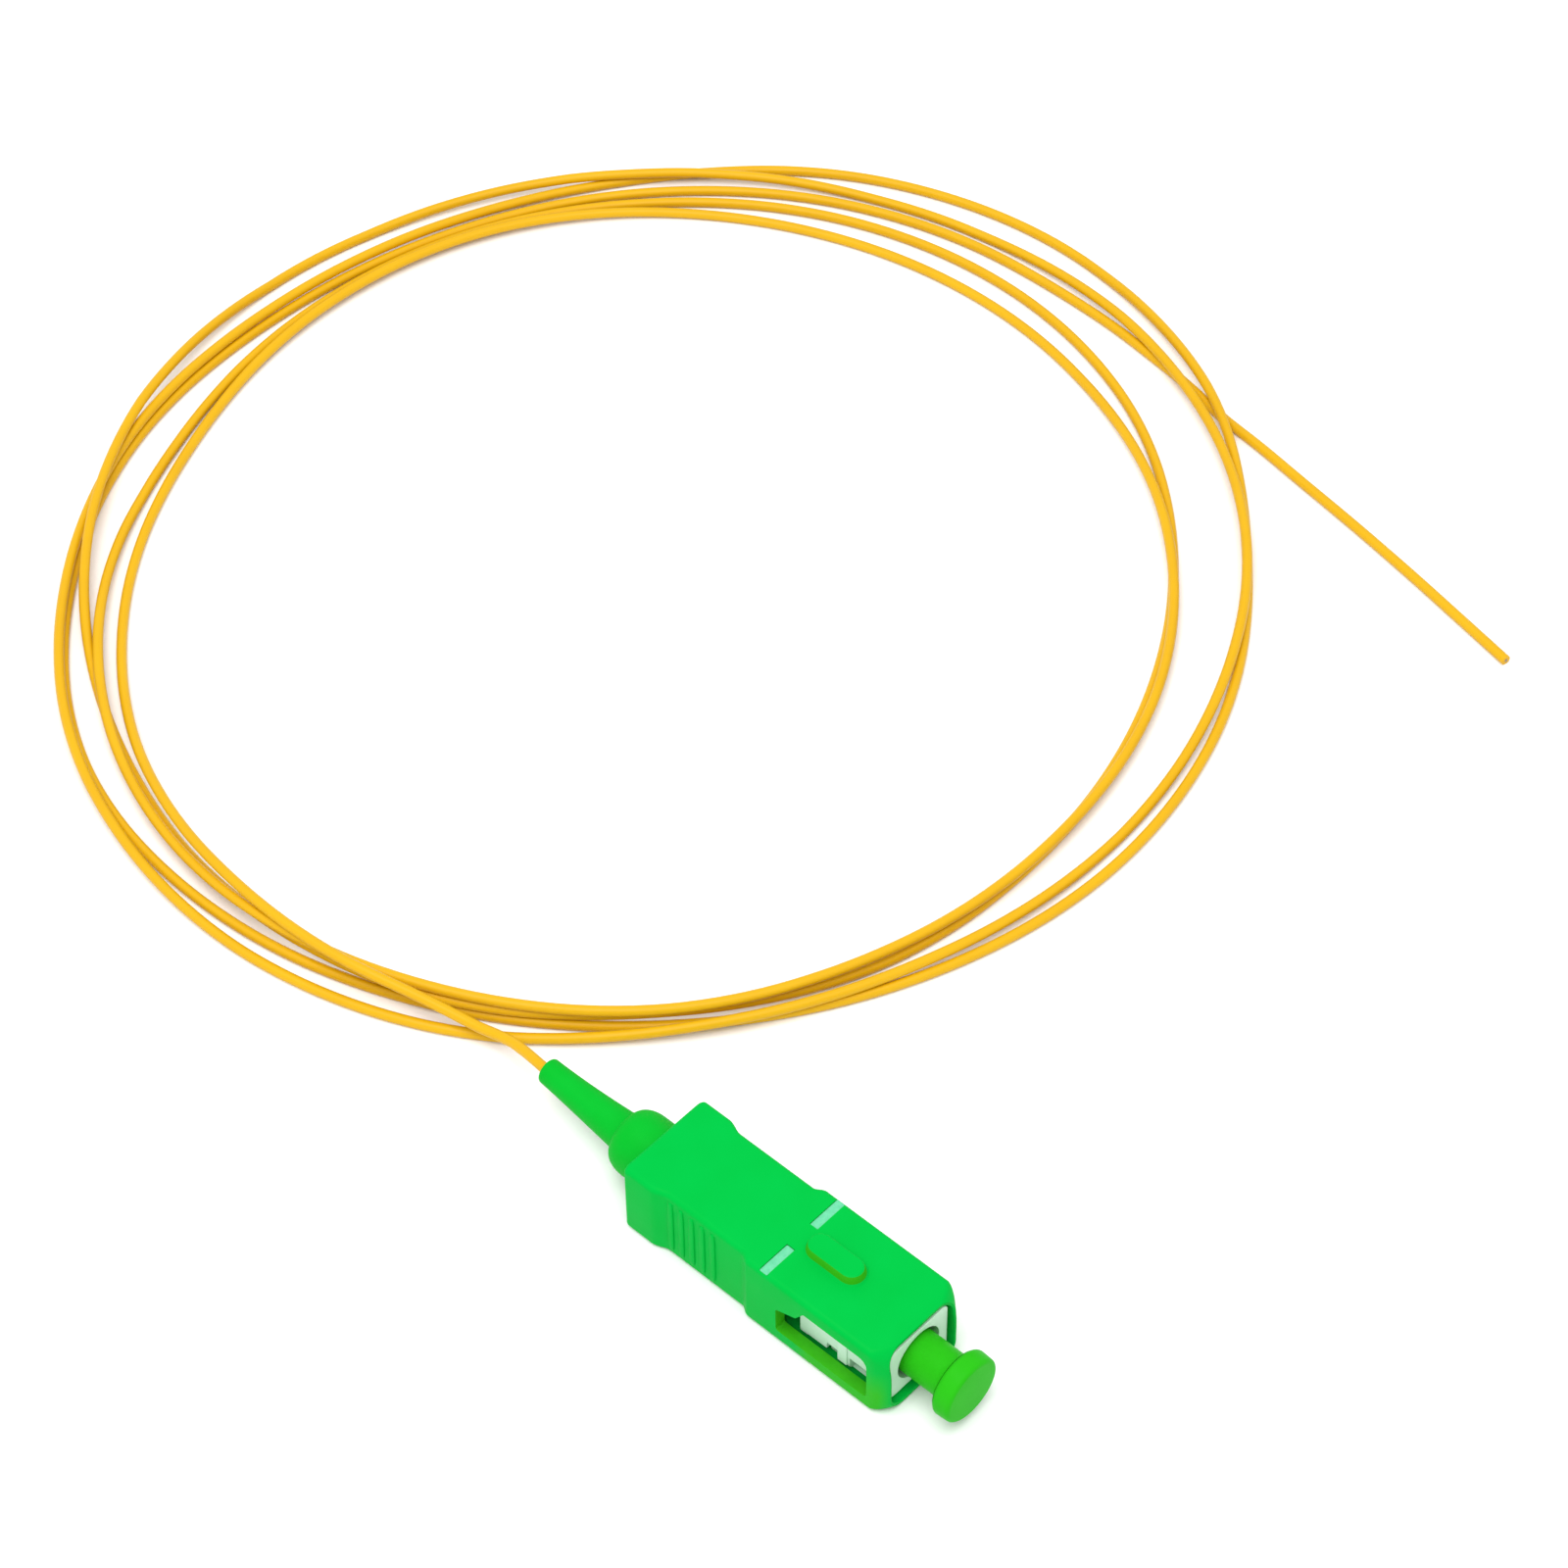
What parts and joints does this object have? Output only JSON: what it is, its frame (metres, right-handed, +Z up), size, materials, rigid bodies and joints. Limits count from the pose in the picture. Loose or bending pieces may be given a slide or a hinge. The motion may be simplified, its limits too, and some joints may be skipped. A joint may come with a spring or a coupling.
{
  "type": "fibre optic pigtail",
  "caption": "Push-pull angled-polish fibre connector with boot and dust cap on a coiled buffered fibre whose far end is bare for splicing.",
  "frame": {"origin": "on the floor, under the middle of the connector between its boot tip and its dust cap", "axes": "+X along the connector's ferrule axis out of its front, +Z up through the side with the key"},
  "size_m": [0.1285, 0.1036, 0.0083],
  "materials": {
    "green_pbt": "moulded satin",
    "white_pbt": "moulded satin",
    "zirconia": "ground and polished ceramic",
    "nickel_plate": "nickel-plated, turned",
    "spring_steel": "drawn wire",
    "boot_elastomer": "soft matt",
    "cap_polyethylene": "soft waxy",
    "yellow_buffer": "extruded satin"
  },
  "bodies": {
    "connector": {"inner_housing": "white_pbt", "spring": "spring_steel", "stop_ring": "nickel_plate", "boot": "boot_elastomer", "fibre_lead": "yellow_buffer", "fibre_coil": "yellow_buffer", "fibre_tail": "yellow_buffer"},
    "grip": {"outer_housing": "green_pbt"},
    "ferrule_unit": {"ferrule": "zirconia", "ferrule_flange": "nickel_plate"},
    "cap": {"dust_cap": "cap_polyethylene"}
  },
  "joints": [
    {"name": "grip_slide", "type": "slide", "parent": "connector", "child": "grip", "axis": [-1, 0, 0], "range_m": [0, 0.0022]},
    {"name": "ferrule_float", "type": "slide", "parent": "connector", "child": "ferrule_unit", "axis": [-1, 0, 0], "range_m": [0, 0.0015], "stiffness_N_per_m": 600, "springref_m": -0.002, "deforming": ["spring"]},
    {"name": "cap_pull", "type": "slide", "parent": "ferrule_unit", "child": "cap", "axis": [1, 0, 0], "range_m": [0, 0.009]}
  ]
}
